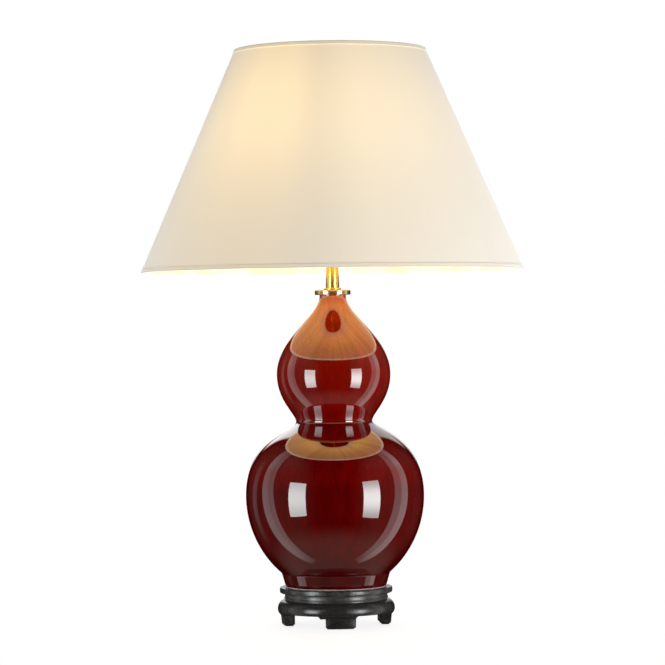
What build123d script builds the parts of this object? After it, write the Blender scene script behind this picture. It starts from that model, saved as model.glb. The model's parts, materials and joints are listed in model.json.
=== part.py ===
"""Double gourd table lamp: a glazed vase on a footed wooden stand, brass fittings and an empire shade.

Millimetres, +Z up. The origin is on the surface that the lamp stands on, under the middle of the stand.
The front of the lamp faces -Y. Heights are worked out from the bottom up: stand, vase, cap, neck tube,
harp and shade.
"""
from build123d import *
from math import asin, atan, cos, degrees, hypot, radians, sin, sqrt, tan
import os

os.makedirs("parts", exist_ok=True)

# ---- clearances ----
running_gap = 0.3       # between a piece that moves and what carries it
fit_gap = 0.1           # between fixed pieces that slide together

# ---- wooden stand ----
disc_d = 134.2          # top disc
disc_thickness = 6.8
disc_edge_r = 1.6       # rounding of the disc's edge
waist_d = 122.4
waist_height = 8.0      # from the apron's top to the disc's underside
bead_r = 0.9            # bead round the foot of the waist
groove_depth = 0.8      # groove between the bead and the apron
groove_height = 1.2
apron_d = 139.8         # at the fullest part of the bulge
apron_top_d = 124.8
apron_upper = 10.7      # from the fullest part up to the apron's top
apron_lower = 7.3       # from the fullest part down to the feet
foot_top_d = 132.4
foot_bottom_d = 130.2
foot_length = 11.0      # below the bulge
foot_arch = 3.0         # how far the sawn arches reach up into the bulge
foot_width = 35.5
foot_count = 4
foot_turn = 4.6         # how far the front foot stands to the right of the front, degrees
foot_edge_r = 1.5
arch_r = 3.0            # inside corners of the sawn arches
stand_wall = 12.6       # of the feet and the apron
stand_web = 16.0        # wood left above the hollow underside
pad_thickness = 1.2
pad_margin = 2.0        # wood that shows round each pad

# ---- vase ----
vase_wall = 6.0
foot_ring_d = 119.4     # where the vase meets the stand
foot_ring_width = 9.0
foot_recess = 3.0
foot_ring_height = 16.5
ring_top_d = 129.0      # corner between foot ring and belly
belly_d = 212.4
belly_height = 108.7    # above the vase's foot
vase_waist_d = 90.8
vase_waist_height = 197.3
upper_d = 135.4
upper_height = 252.8
neck_d = 31.4
neck_height = 345.0     # where the neck turns straight
vase_lip = 4.0          # straight collar above that
shoulder_handles = (0.79, 0.10)     # of the curve from belly to waist: shares of its height
waist_handles = (0.145, 0.55)       # of the curve from waist to upper gourd
neck_handles = (0.49, 0.26)         # of the curve from upper gourd to neck
neck_bore = 21.4
neck_bore_depth = 28.0
vase_drilling = 12.0    # hole in the vase's floor for the pipe

# ---- pipe and what holds it ----
pipe_d = 10.0
pipe_bore = 8.0
pipe_hole_gap = 0.5     # round the pipe, in the wood
pipe_below_nut = 3.5
nut_across = 16.0
nut_thickness = 5.0
washer_d = 32.0
washer_thickness = 1.5
bush_bore = 6.2         # the way in for a cord
bush_sleeve = 6.0
bush_flange = 2.0
bush_flange_d = 12.5
neck_bush_height = 14.0
gasket_thickness = 0.8

# ---- brass below the shade ----
cap_d = 42.6
cap_web = 3.6
cap_skirt = 2.1         # how far its edge reaches down round the neck
cap_edge_r = 2.6
seat_ring_d = 20.4
seat_ring_height = 2.4
seat_ring_chamfer = 0.6
neck_tube_d = 16.0
neck_tube_wall = 1.0
neck_tube_length = 35.2

# ---- harp ----
harp_turn = 13.0        # front leg stands this far to the left of the front, degrees
saddle_thickness = 1.6
saddle_width = 11.0
saddle_span = 55.6      # over the outside of its two tabs
saddle_height = 17.0
saddle_bend_r = 5.0     # inside its bends
tab_width = 6.0
tab_length = 11.4
ferrule_length = 12.0
ferrule_wall = 0.7
ferrule_travel = 12.0
ferrule_corner_r = 1.2
wire_d = 3.6
harp_width = 100.0      # between the middles of its wires, at the widest
harp_height = 230.0     # saddle to the shade's seat
harp_bend = 12.0        # from the top of a ferrule's travel to the harp's first bend
harp_full = (0.24, 0.66)    # shares of the height above that bend between which its sides are upright
harp_crown = (0.66, 0.93)   # corner above them: shares of the half width and of that height
harp_crown_flat = 0.34      # share of the half width where it turns level
eye_d = 18.0
eye_thickness = 2.4
stud_d = 6.2
stud_length = 14.0
stud_shoulder_d = 12.0
stud_shoulder = 3.2
stud_head_d = 9.2
stud_head = 1.6
stud_shank_d = 5.0
stud_point = 0.8        # chamfer at the stud's top

# ---- socket ----
socket_cap_d = 34.8
socket_cap_height = 20.0
socket_boss_d = 15.0
socket_boss_height = 6.0
socket_sheet = 0.8
set_screw_d = 3.2
set_screw_out = 1.6     # how far it stands out of the boss
set_screw_slot = 0.8
shell_length = 43.0
shell_overlap = 4.6     # of the shell inside the cap
shell_sheet = 0.6
shell_rim = 0.8
liner_thickness = 0.6
liner_out = 0.8         # how far the liner shows above the shell
body_height = 14.5
body_lift = 3.0         # from the shell's lower end to the body
terminal_depth = 2.6    # of the flats that the terminal screws sit on
terminal_land = 2.0     # left above and below each flat
terminal_margin = 1.0   # of the flat beside each screw's head
terminal_screw_d = 6.0
terminal_shank_d = 3.0
terminal_shank = 5.0
terminal_head = 1.8
contact_width = 5.0
contact_sheet = 0.4
contact_rise = 1.5
contact_fixed_end = 7.0     # from the axis to the end that lies on the body
contact_flat = 5.0      # how much of it lies there
contact_ramp = 3.4      # over which it rises
contact_tip = 2.6       # level part under the bulb
screw_shell_sheet = 0.4
screw_flange = 3.0      # how far its foot turns in over the switch body

# ---- turn switch ----
switch_height = 7.5     # of its axis above the body's underside
stem_hole_gap = 1.2     # round the stem in the shell and its liner
stem_d = 3.2
stem_inside = 9.0       # from the lamp's axis to the stem's inner end
knob_gap = 3.0          # from the socket's shell to the knob
knob_length = 15.0
knob_d = 9.6
knob_small_d = 8.0
knob_end_r = 1.0
knob_flutes = 12
flute_r = 0.8
flute_depth = 0.6

# ---- bulb ----
bulb_d = 60.0
bulb_length = 106.0
bulb_wall = 1.0
bulb_neck_d = 26.4
bulb_neck_out = 27.6    # from the contact to where the glass leaves the cap
bulb_stem_d = 22.6      # glass inside the cap
bulb_stem_length = 13.0
thread_d = 26.4
thread_depth = 0.9
thread_pitch = 3.6
thread_turns = 4
thread_crest = (0.35, 0.65)     # shares of the pitch between which a ridge is full
cap_sheet = 0.4
cap_lower_d = 20.0
insulator_height = 4.0
contact_d = 9.6
contact_height = 1.5

# ---- shade ----
shade_bottom_d = 457.2
shade_top_d = 228.6
shade_height = 264.0
shade_drop = 18.7       # from the top of the shade down to the seat of its spider
skin_thickness = 0.8
hem_thickness = 0.5
hem_height = 4.2
lap_width = 14.0
top_ring_wire = 3.0
bottom_ring_wire = 2.4
spider_wire = 2.8
spider_arms = 3
spider_turn = 30.0      # of the first arm from +X, degrees
spider_flat = 24.0      # level part of each arm, from the hub's edge
spider_bend_r = 11.2
spider_end = 2.8        # level end of each arm at the ring
spider_end_r = 3.4
hub_d = 22.0
hub_thickness = 1.5

# ---- finial ----
finial_height = 19.6
finial_base_d = 13.0
finial_neck_d = 7.6
finial_ball_d = 11.4
finial_base_height = 4.4
finial_cove = 3.2       # height of the hollow curve between foot and neck
finial_wall_above_stud = 0.6

# ---- heights above the floor ----
stand_top = pad_thickness + foot_length + apron_lower + apron_upper + waist_height + disc_thickness
apron_full_z = pad_thickness + foot_length + apron_lower
apron_top_z = apron_full_z + apron_upper
disc_z = apron_top_z + waist_height
web_z = stand_top - stand_web
nut_z = web_z - washer_thickness - nut_thickness
pipe_z = nut_z - pipe_below_nut
vase_height = neck_height + vase_lip
vase_top = stand_top + vase_height
cap_z = vase_top + gasket_thickness
seat_ring_z = cap_z + cap_web
neck_tube_z = seat_ring_z + seat_ring_height
saddle_z = neck_tube_z + neck_tube_length
socket_z = saddle_z + saddle_thickness
pipe_top = socket_z + socket_boss_height
shell_z = socket_z + socket_cap_height - shell_overlap
body_z = shell_z + body_lift
body_top = body_z + body_height
switch_z = body_z + switch_height
bulb_z = body_top + contact_sheet + contact_rise + running_gap
insulator_z = bulb_z + contact_height
thread_z = insulator_z + insulator_height + thread_depth
set_screw_z = socket_z + socket_boss_height / 2
terminal_z = body_z + body_height / 2
ferrule_z = saddle_z + saddle_height - tab_length + running_gap
shade_seat_z = saddle_z + harp_height
eye_z = shade_seat_z - stud_shoulder - fit_gap - eye_thickness / 2
hub_z = shade_seat_z + running_gap
shade_top_z = hub_z + shade_drop
shade_z = shade_top_z - shade_height
finial_z = hub_z + hub_thickness + running_gap

# ---- radii that several pieces share ----
pipe_r = pipe_d / 2
shell_r = socket_cap_d / 2 - socket_sheet - running_gap
liner_r = shell_r - shell_sheet - fit_gap
body_r = liner_r - liner_thickness - fit_gap
stud_shank_r = stud_shank_d / 2
tab_s = saddle_span / 2
wire_s = tab_s + fit_gap + wire_d / 2
harp_rotation = -90 - harp_turn
switch_rotation = harp_rotation + 90

# ---- depths inside the shade's side, measured level ----
lean = hypot(shade_height, (shade_bottom_d - shade_top_d) / 2) / shade_height
hem_depth = hem_thickness * lean
skin_in = hem_depth + fit_gap
skin_out = skin_in + skin_thickness * lean


def save(shape, name):
    """Write one piece as parts/NAME.step."""
    export_step(shape, f"parts/{name}.step")


def section(*points):
    """A closed flat outline in the XZ plane, from (radius, height) points."""
    return make_face(Polyline([(r, 0, z) for r, z in points], close=True))


def turned(*points, arc=360.0):
    """A turned piece: the outline of (radius, height) points spun about the lamp's axis."""
    return revolve(section(*points), Axis.Z, arc)


def tube(outer_r, inner_r, low, high):
    """A plain ring or tube about the lamp's axis."""
    return turned((inner_r, low), (outer_r, low), (outer_r, high), (inner_r, high))


def rod_x(radius, start, end, height):
    """A round bar that runs along +X, from start to end, at a height."""
    return Pos((start + end) / 2, 0, height) * Rot(0, 90, 0) * Cylinder(radius, end - start)


def rod_z(radius, low, high):
    """A round bar on the lamp's axis, between two heights."""
    return Pos(0, 0, (low + high) / 2) * Cylinder(radius, high - low)


def box_between(low, high):
    """A box given by its lowest and highest corners."""
    size = [b - a for a, b in zip(low, high)]
    return Pos(*[(a + b) / 2 for a, b in zip(low, high)]) * Box(*size)


# ---- stand ----
def stand_outline():
    """Half of the stand's turned section, before its feet are sawn."""
    full_r, top_r = apron_d / 2, apron_top_d / 2
    waist_r, disc_r = waist_d / 2, disc_d / 2
    low, foot_top = pad_thickness, pad_thickness + foot_length
    inner_r = foot_bottom_d / 2 - stand_wall
    groove_top = apron_top_z + groove_height
    bead_top = groove_top + 2 * bead_r
    groove_r = waist_r - groove_depth
    hole_r = pipe_r + pipe_hole_gap

    def at(radius, height):
        return (radius, 0, height)

    edge_z = stand_top - disc_edge_r
    under_z = disc_z + disc_edge_r
    edges = [
        Polyline(at(hole_r, web_z), at(inner_r, web_z), at(inner_r, low), at(foot_bottom_d / 2, low),
                 at(foot_top_d / 2, foot_top)),
        TangentArc(at(full_r, apron_full_z), at(foot_top_d / 2, foot_top), tangent=(0, 0, -1)),
        TangentArc(at(full_r, apron_full_z), at(top_r, apron_top_z), tangent=(0, 0, 1)),
        Polyline(at(top_r, apron_top_z), at(groove_r, apron_top_z), at(groove_r, groove_top),
                 at(waist_r, groove_top)),
        ThreePointArc(at(waist_r, groove_top), at(waist_r + bead_r, groove_top + bead_r),
                      at(waist_r, bead_top)),
        Polyline(at(waist_r, bead_top), at(waist_r, disc_z), at(disc_r - disc_edge_r, disc_z)),
        TangentArc(at(disc_r - disc_edge_r, disc_z), at(disc_r, under_z), tangent=(1, 0, 0)),
        Line(at(disc_r, under_z), at(disc_r, edge_z)),
        TangentArc(at(disc_r, edge_z), at(disc_r - disc_edge_r, stand_top), tangent=(0, 0, 1)),
        Polyline(at(disc_r - disc_edge_r, stand_top), at(hole_r, stand_top), at(hole_r, web_z)),
    ]
    return make_face(edges)


def foot_places(shape):
    """Copies of a shape that lies along +X, one for each foot."""
    step = 360 / foot_count
    return [Rot(0, 0, foot_turn + n * step) * shape for n in range(foot_count)]


def stand():
    """Turned disc, waist and apron, with arches sawn between the feet."""
    ring = revolve(stand_outline(), Axis.Z)
    sawn_top = pad_thickness + foot_length + foot_arch
    foot_angle = degrees(2 * asin(foot_width / foot_bottom_d))
    reach = apron_d
    gap_half = (360 / foot_count - foot_angle) / 2
    arch = Polyline((0, 0), (reach * cos(radians(gap_half)), -reach * sin(radians(gap_half))),
                    (reach, 0), (reach * cos(radians(gap_half)), reach * sin(radians(gap_half))), close=True)
    saw = extrude(make_face(arch), sawn_top)
    saw -= Cylinder(foot_bottom_d / 2 - stand_wall - arch_r, 3 * sawn_top)
    saw = fillet(saw.faces().sort_by(Axis.Z)[-1].edges().filter_by(GeomType.LINE).sort_by(Axis.X)[:2], arch_r)
    half_step = 180 / foot_count
    for cut in foot_places(Rot(0, 0, half_step) * saw):
        ring -= cut
    soles = ring.faces().sort_by(Axis.Z)[:foot_count]
    return fillet([edge for sole in soles for edge in sole.edges()], foot_edge_r)


def foot_pads():
    """A felt pad under each foot, a little smaller than the foot."""
    outer_r = foot_bottom_d / 2 - pad_margin
    inner_r = foot_bottom_d / 2 - stand_wall + pad_margin
    pad_width = foot_width - 2 * pad_margin
    pad = tube(outer_r, inner_r, 0, pad_thickness)
    pad &= box_between((0, -pad_width / 2, 0), (foot_bottom_d, pad_width / 2, pad_thickness))
    return Compound(children=foot_places(pad))


# ---- vase ----
def vase_curves():
    """The vase's outer side from its foot up: foot ring, belly, shoulder, upper gourd and neck."""
    def at(diameter, height):
        return Vector(diameter / 2, 0, stand_top + height)

    def swell(low, high, rise, fall):
        """A curve, upright at both ends, whose handles are shares of its height."""
        span = high.Z - low.Z
        return Bezier(low, low + Vector(0, 0, rise * span), high - Vector(0, 0, fall * span), high)

    belly = at(belly_d, belly_height)
    waist = at(vase_waist_d, vase_waist_height)
    upper = at(upper_d, upper_height)
    neck = at(neck_d, neck_height)
    ring_top = at(ring_top_d, foot_ring_height)
    return [
        Line(at(foot_ring_d, 0), ring_top),
        TangentArc(belly, ring_top, tangent=(0, 0, -1)),
        swell(belly, waist, *shoulder_handles),
        swell(waist, upper, *waist_handles),
        swell(upper, neck, *neck_handles),
        Line(neck, at(neck_d, vase_height)),
    ]


def inset(curve, share, depth):
    """The point that lies depth inside a curve of the vase's side, part of the way along it."""
    place, way = curve.position_at(share), curve.tangent_at(share)
    side = 1 if way.Z > 0 else -1
    return (place.X - side * depth * way.Z, place.Z + side * depth * way.X)


def vase():
    """Hollow double gourd, open at the neck, with a drilled floor and a foot ring."""
    ring, belly, shoulder, upper, neck, lip = curves = vase_curves()
    foot_r, ring_in = foot_ring_d / 2, foot_ring_d / 2 - foot_ring_width
    low, hole_r = stand_top, vase_drilling / 2
    base = Polyline((neck_d / 2, 0, vase_top), (hole_r, 0, vase_top), (hole_r, 0, low + foot_recess),
                    (ring_in, 0, low + foot_recess), (ring_in, 0, low), (foot_r, 0, low))
    floor_z = low + foot_recess + vase_wall
    inside = [(hole_r / 2, floor_z), (ring_in, floor_z)]
    inside += [inset(belly, share, vase_wall) for share in (0.8, 0.55, 0.3, 0.0)]
    inside += [inset(shoulder, share, vase_wall) for share in (0.25, 0.5, 0.75)]
    inside += [inset(upper, share, vase_wall) for share in (0.0, 0.3, 0.65)]
    inside += [inset(neck, share, vase_wall) for share in (0.0, 0.3, 0.55)]
    bore_r = neck_bore / 2
    over = vase_top + vase_wall
    inside += [(bore_r, vase_top - neck_bore_depth), (bore_r, over), (hole_r / 2, over)]
    return revolve(make_face(curves + [base]), Axis.Z) - turned(*inside)


# ---- pipe and its hardware ----
def hex_nut():
    """Hex nut on the pipe's lower end, with chamfered corners."""
    across_corners = nut_across / cos(radians(30))
    nut = Pos(0, 0, nut_z) * extrude(RegularPolygon(across_corners / 2, 6), nut_thickness)
    crown = Pos(0, 0, nut_z + nut_thickness / 2) * Cylinder(across_corners / 2, nut_thickness)
    nut &= chamfer(crown.edges().filter_by(GeomType.CIRCLE), (across_corners - nut_across) / 2)
    return nut - Pos(0, 0, nut_z) * Cylinder(pipe_r, 3 * nut_thickness)


def cord_bush():
    """Flanged bush pressed into the pipe's lower end."""
    hole_r, sleeve_r = bush_bore / 2, pipe_bore / 2 - fit_gap
    return turned((hole_r, pipe_z - bush_flange), (bush_flange_d / 2, pipe_z - bush_flange),
                  (bush_flange_d / 2, pipe_z), (sleeve_r, pipe_z), (sleeve_r, pipe_z + bush_sleeve),
                  (hole_r, pipe_z + bush_sleeve))


def vase_cap():
    """Brass disc with a rounded edge, hollow below so that it sits down over the neck."""
    cap_r, web_top = cap_d / 2, cap_z + cap_web
    skirt_z = cap_z - cap_skirt
    neck_r = neck_d / 2 + running_gap
    bore = pipe_r + fit_gap
    cap = turned((bore, cap_z), (neck_r, cap_z), (neck_r, skirt_z), (cap_r, skirt_z), (cap_r, web_top),
                 (bore, web_top))
    rim = [e for e in cap.edges().filter_by(GeomType.CIRCLE) if e.radius > cap_r - fit_gap]
    return fillet(rim, min(cap_edge_r, (cap_web + cap_skirt) / 2 - fit_gap))


def seat_ring():
    """Small turned ring between the cap and the neck tube."""
    ring = tube(seat_ring_d / 2, pipe_r + fit_gap, seat_ring_z, neck_tube_z)
    top = ring.edges().filter_by(GeomType.CIRCLE).sort_by(SortBy.RADIUS)[-2:].sort_by(Axis.Z)[-1]
    return chamfer(top, seat_ring_chamfer)


# ---- harp ----
def harp_side(shape):
    """Turn what is built in the XZ plane, with its front leg on +X, into the harp's plane."""
    return Rot(0, 0, harp_rotation) * shape


def harp_saddle():
    """Flat strip bent into a U, its upright ends narrowed to tabs for the ferrules."""
    sheet, half_width = saddle_thickness, saddle_width / 2
    top = saddle_z + saddle_height
    strip = box_between((-tab_s, -half_width, saddle_z), (tab_s, half_width, top))
    strip -= box_between((sheet - tab_s, -saddle_width, saddle_z + sheet),
                         (tab_s - sheet, saddle_width, top + sheet))
    for corner_z, radius in ((saddle_z + sheet, saddle_bend_r), (saddle_z, saddle_bend_r + sheet)):
        corners = strip.edges().filter_by(Axis.Y)
        strip = fillet([edge for edge in corners if abs(edge.center().Z - corner_z) < sheet / 2], radius)
    for low, high in ((-saddle_width, -tab_width / 2), (tab_width / 2, saddle_width)):
        strip -= box_between((-saddle_span, low, top - tab_length), (saddle_span, high, top + sheet))
    return harp_side(strip - Pos(0, 0, saddle_z) * Cylinder(pipe_r + fit_gap, 4 * sheet))


def harp_corners():
    """Corners of one leg of the harp, from its foot on the saddle up to its eye."""
    foot_z = saddle_z + saddle_thickness + saddle_bend_r / 2
    bend_z = ferrule_z + ferrule_length + ferrule_travel + harp_bend
    rise, half = eye_z - bend_z, harp_width / 2
    full_low, full_high = [bend_z + share * rise for share in harp_full]
    crown_s, crown_z = harp_crown[0] * half, bend_z + harp_crown[1] * rise
    return [(wire_s, foot_z), (wire_s, bend_z), (half, full_low), (half, full_high), (crown_s, crown_z),
            (harp_crown_flat * half, eye_z), (eye_d / 2 - wire_d / 2, eye_z)]


def corner_radii(corners, share=0.45):
    """For each corner of a path, the radius whose arc takes this share of the shorter run beside it."""
    radii = []
    for a, b, c in zip(corners, corners[1:], corners[2:]):
        before, after = Vector(*b) - Vector(*a), Vector(*c) - Vector(*b)
        half_turn = radians(before.get_angle(after)) / 2
        radii.append(share * min(before.length, after.length) / tan(half_turn))
    return radii


def harp():
    """One bent wire with a flat eye at its top, which takes the stud."""
    corners = harp_corners()
    radii = corner_radii(corners)
    first_half_turn = atan((corners[2][0] - corners[1][0]) / (corners[2][1] - corners[1][1])) / 2
    radii[0] = harp_bend / tan(first_half_turn)
    path = FilletPolyline([(s, 0, z) for s, z in corners], radius=radii)
    start = Plane(origin=path @ 0, z_dir=path % 0)
    leg = sweep(start * Circle(wire_d / 2), path)
    eye = Pos(0, 0, eye_z) * Cylinder(eye_d / 2, eye_thickness)
    body = eye + leg + Rot(0, 0, 180) * leg
    return harp_side(body - Pos(0, 0, eye_z) * Cylinder(stud_shank_r + fit_gap, 4 * eye_thickness))


def harp_stud():
    """Riveted stud: head under the eye, shank, shoulder that the spider rests on, and screwed top."""
    low, high = eye_z - eye_thickness / 2 - fit_gap, eye_z + eye_thickness / 2 + fit_gap
    stud_r = stud_d / 2
    return turned((0, low - stud_head), (stud_head_d / 2, low - stud_head), (stud_head_d / 2, low),
                  (stud_shank_r, low), (stud_shank_r, high), (stud_shoulder_d / 2, high),
                  (stud_shoulder_d / 2, shade_seat_z), (stud_r, shade_seat_z),
                  (stud_r, shade_seat_z + stud_length - stud_point),
                  (stud_r - stud_point, shade_seat_z + stud_length), (0, shade_seat_z + stud_length))


def harp_ferrule():
    """Flat-sided tube that slides down over a tab and the harp's leg beside it."""
    inner_s = tab_s - saddle_thickness - running_gap
    outer_s = wire_s + wire_d / 2 + running_gap
    half = tab_width / 2 + running_gap
    middle = Pos((inner_s + outer_s) / 2, 0, ferrule_z)
    hole = RectangleRounded(outer_s - inner_s, 2 * half, ferrule_corner_r - ferrule_wall)
    skin = RectangleRounded(outer_s - inner_s + 2 * ferrule_wall, 2 * (half + ferrule_wall), ferrule_corner_r)
    return middle * extrude(skin - hole, ferrule_length)


# ---- socket ----
def socket_cap():
    """Spun cap: a boss on the pipe that opens into a bowl round the shell's foot."""
    boss_r, cap_r, sheet = socket_boss_d / 2, socket_cap_d / 2, socket_sheet
    bore = pipe_r + fit_gap
    low, boss_top, rim = socket_z, socket_z + socket_boss_height, socket_z + socket_cap_height
    bowl = rim - shell_overlap - 2 * sheet
    cap = turned((bore, low), (boss_r, low), (boss_r, boss_top - sheet), (cap_r, bowl - sheet), (cap_r, rim),
                 (cap_r - sheet, rim), (cap_r - sheet, bowl), (boss_r - sheet, boss_top), (bore, boss_top))
    return cap - switch_side(rod_x(set_screw_d / 2 + fit_gap, 0, cap_r, set_screw_z))


def switch_side(shape):
    """Turn what is built along +X towards the switch's side of the socket."""
    return Rot(0, 0, switch_rotation) * shape


def set_screw():
    """Slotted screw that stops the cap turning on the pipe."""
    tip, end = pipe_r + fit_gap / 2, socket_boss_d / 2 + set_screw_out
    screw = rod_x(set_screw_d / 2, tip, end, set_screw_z)
    slot = box_between((end - set_screw_slot, -set_screw_d, set_screw_z - set_screw_slot / 2),
                       (end + set_screw_slot, set_screw_d, set_screw_z + set_screw_slot / 2))
    return switch_side(screw - slot)


def socket_shell():
    """Brass shell with a rolled rim and the hole that the switch's stem comes out of."""
    top = shell_z + shell_length
    shell = turned((shell_r - shell_sheet, shell_z), (shell_r, shell_z), (shell_r, top - 2 * shell_rim),
                   (shell_r + shell_rim, top - 1.5 * shell_rim), (shell_r + shell_rim, top - shell_rim / 2),
                   (shell_r, top), (shell_r - shell_sheet, top))
    return shell - switch_side(rod_x(stem_d / 2 + stem_hole_gap, 0, socket_cap_d, switch_z))


def shell_liner():
    """Card tube that insulates the shell from what is inside it."""
    liner = tube(liner_r, liner_r - liner_thickness, body_z, shell_z + shell_length + liner_out)
    return liner - switch_side(rod_x(stem_d / 2 + stem_hole_gap, 0, socket_cap_d, switch_z))


def socket_body():
    """Moulded switch body with a bore for the stem and a flat each side for the terminal screws."""
    body = Pos(0, 0, body_z + body_height / 2) * Cylinder(body_r, body_height)
    body -= rod_x(stem_d / 2 + running_gap, stem_inside - running_gap, socket_cap_d, switch_z)
    flat_y = body_r - terminal_depth
    for side in (-1, 1):
        low, high = sorted((side * flat_y, side * 2 * body_r))
        half = terminal_screw_d / 2 + terminal_margin
        body -= box_between((-half, low, body_z + terminal_land), (half, high, body_top - terminal_land))
        hole = Pos(0, side * (flat_y - terminal_shank / 2), terminal_z) * Rot(90, 0, 0)
        body -= hole * Cylinder(terminal_shank_d / 2 + fit_gap, terminal_shank + fit_gap)
    return switch_side(body)


def terminal_screws():
    """Two screws, one on each flat of the switch body."""
    flat_y = body_r - terminal_depth
    length = terminal_shank + terminal_head
    screws = []
    for side in (-1, 1):
        shank = Pos(0, side * (flat_y - terminal_shank + length / 2), terminal_z) * Rot(90, 0, 0)
        head = Pos(0, side * (flat_y + terminal_head / 2), terminal_z) * Rot(90, 0, 0)
        screw = shank * Cylinder(terminal_shank_d / 2, length)
        screw += head * Cylinder(terminal_screw_d / 2, terminal_head)
        screws.append(switch_side(screw))
    return Compound(children=screws)


def thread_side(root_r, crest_r, turns):
    """Points up the side of a rolled thread of rounded ridges."""
    points = []
    for turn in range(turns):
        foot = thread_z + turn * thread_pitch
        points.append((root_r, foot))
        points += [(crest_r, foot + share * thread_pitch) for share in thread_crest]
    return points + [(root_r, thread_z + turns * thread_pitch)]


def screw_shell():
    """Rolled metal shell that the bulb screws into, standing on a flange on the switch body."""
    crest, sheet = thread_d / 2 + running_gap, screw_shell_sheet
    root = crest - thread_depth
    inner = thread_side(root, crest, thread_turns - 1)
    outer = [(r + sheet, z) for r, z in inner]
    flange_r = root - 2 * thread_depth - screw_flange
    return turned((flange_r, body_top), (root + sheet, body_top), *outer, *reversed(inner),
                  (root, body_top + sheet), (flange_r, body_top + sheet))


def centre_contact():
    """Sprung strip in the bottom of the socket, its free end raised towards the bulb."""
    sheet, rise = contact_sheet, contact_rise
    end = -contact_fixed_end
    bend = end + contact_flat
    level = bend + contact_ramp
    tip = level + contact_tip
    strip = section((end, 0), (bend, 0), (level, rise), (tip, rise), (tip, rise + sheet),
                    (level - sheet / 2, rise + sheet), (bend - sheet / 2, sheet), (end, sheet))
    return switch_side(Pos(0, 0, body_top) * extrude(strip, contact_width / 2, both=True))


# ---- turn switch ----
def switch_stem():
    """Metal stem that runs from inside the switch body into the knob."""
    return switch_side(rod_x(stem_d / 2, stem_inside, shell_r + knob_gap + knob_length / 2, switch_z))


def switch_knob():
    """Tapered knob with flutes, bored for the stem."""
    start = shell_r + knob_gap
    knob = Cone(knob_d / 2, knob_small_d / 2, knob_length, align=(Align.CENTER, Align.CENTER, Align.MIN))
    knob = fillet(knob.edges().filter_by(GeomType.CIRCLE).sort_by(Axis.Z)[-1], knob_end_r)
    flute = Cylinder(flute_r, 2 * knob_length)
    for turn in range(knob_flutes):
        place = Pos(knob_d / 2 + flute_r - flute_depth, 0, knob_length)
        knob -= Rot(0, 0, turn * 360 / knob_flutes) * place * flute
    knob -= Cylinder(stem_d / 2, knob_length)
    return switch_side(Pos(start, 0, switch_z) * Rot(0, 90, 0) * knob)


# ---- bulb ----
def bulb_glass():
    """Blown bulb: a ball that flows into a neck, with a stem down inside its cap."""
    ball_r, neck_r, stem_r = bulb_d / 2, bulb_neck_d / 2, bulb_stem_d / 2
    top = bulb_z + bulb_length
    middle, neck_z = top - ball_r, bulb_z + bulb_neck_out
    drop = middle - neck_z
    hollow_r = (neck_r**2 + drop**2 - ball_r**2) / (2 * (ball_r - neck_r))
    meet_angle = atan(drop / (neck_r + hollow_r))
    meet = (ball_r * cos(meet_angle), 0, middle - ball_r * sin(meet_angle))
    foot_z = neck_z - bulb_stem_length
    neck_curve = TangentArc((neck_r, 0, neck_z), meet, tangent=(0, 0, 1))
    ball_curve = ThreePointArc(meet, (ball_r * cos(radians(40)), 0, middle + ball_r * sin(radians(40))),
                               (0, 0, top))
    stem = Polyline((0, 0, top), (0, 0, foot_z), (stem_r, 0, foot_z), (stem_r, 0, neck_z),
                    (neck_r, 0, neck_z))
    solid = revolve(make_face([neck_curve, ball_curve, stem]), Axis.Z)
    inside = [(0, foot_z + bulb_wall), (stem_r - bulb_wall, foot_z + bulb_wall),
              (stem_r - bulb_wall, neck_z + bulb_wall)]
    inside += [inset(neck_curve, share, bulb_wall) for share in (0.3, 0.65, 1.0)]
    inside += [inset(ball_curve, share, bulb_wall) for share in (0.18, 0.36, 0.54, 0.7, 0.85)]
    return solid - turned(*inside, (0, top - bulb_wall))


def bulb_cap():
    """Rolled screw cap, from the insulator's edge up to the glass."""
    crest = thread_d / 2
    root = crest - thread_depth
    low, neck_z = insulator_z + insulator_height, bulb_z + bulb_neck_out
    side = thread_side(root, crest, thread_turns)
    inner_r = bulb_stem_d / 2 + fit_gap
    return turned((cap_lower_d / 2 - cap_sheet, low), (cap_lower_d / 2, low), *side,
                  (crest, neck_z - fit_gap), (inner_r, neck_z - fit_gap),
                  (inner_r, thread_z + thread_pitch), (cap_lower_d / 2 - cap_sheet, low + thread_depth))


def bulb_insulator():
    """Black glass ring between the cap and the contact."""
    lower_r = contact_d / 2 + insulator_height / 4
    return turned((0, insulator_z), (lower_r, insulator_z), (cap_lower_d / 2, insulator_z + insulator_height),
                  (0, insulator_z + insulator_height))


def bulb_contact():
    """Solder button at the bulb's foot."""
    button_r, half = contact_d / 2, contact_height / 2
    return turned((0, bulb_z), (button_r - half, bulb_z), (button_r, bulb_z + half), (button_r, insulator_z),
                  (0, insulator_z))


# ---- shade ----
def shade_r(height):
    """The shade's outer radius at a height."""
    share = (height - shade_z) / shade_height
    return (shade_bottom_d + share * (shade_top_d - shade_bottom_d)) / 2


def slanted(inner, outer, low, high):
    """A ring parallel to the shade's side, between two depths inside it and two heights."""
    return turned((shade_r(low) - inner, low), (shade_r(low) - outer, low), (shade_r(high) - outer, high),
                  (shade_r(high) - inner, high))


def hem_inner(wire):
    """How far inside the shade's side the hem's inner leg starts, round a ring of this wire."""
    return skin_out + (wire + 2 * fit_gap) * lean


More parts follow.
